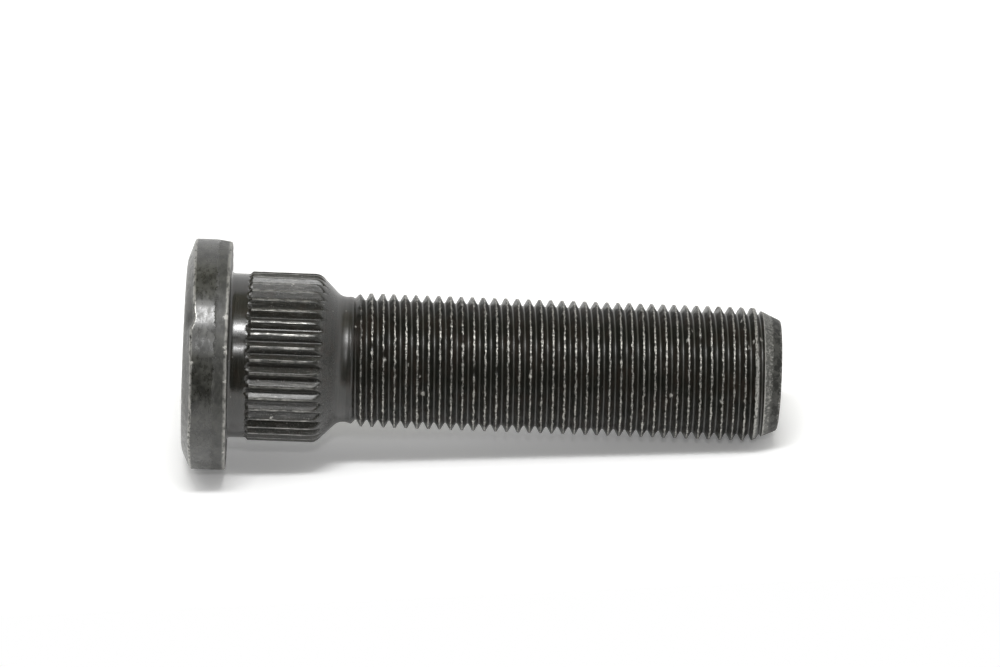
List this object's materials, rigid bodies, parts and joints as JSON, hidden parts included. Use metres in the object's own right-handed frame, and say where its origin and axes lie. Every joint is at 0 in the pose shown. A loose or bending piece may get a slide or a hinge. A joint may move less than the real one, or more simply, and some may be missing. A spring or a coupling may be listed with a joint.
{
  "type": "wheel stud",
  "caption": "Press-in wheel stud with a round bevelled head, a straight-knurled shoulder that bites into the hub, a cone and a long fine-threaded shank with a turned point.",
  "frame": {"origin": "centre of the head's outer face, which the stud stands on", "axes": "+Z along the stud's axis, from the head to the threaded point"},
  "size_m": [0.0308, 0.0308, 0.0794],
  "materials": {
    "blackened_steel": "black oxide over rolled and turned steel, oiled satin, rubbed bright on the thread crests, the knurl's lands and the head's edges"
  },
  "bodies": {
    "root": {"wheel_stud": "blackened_steel"}
  },
  "joints": []
}
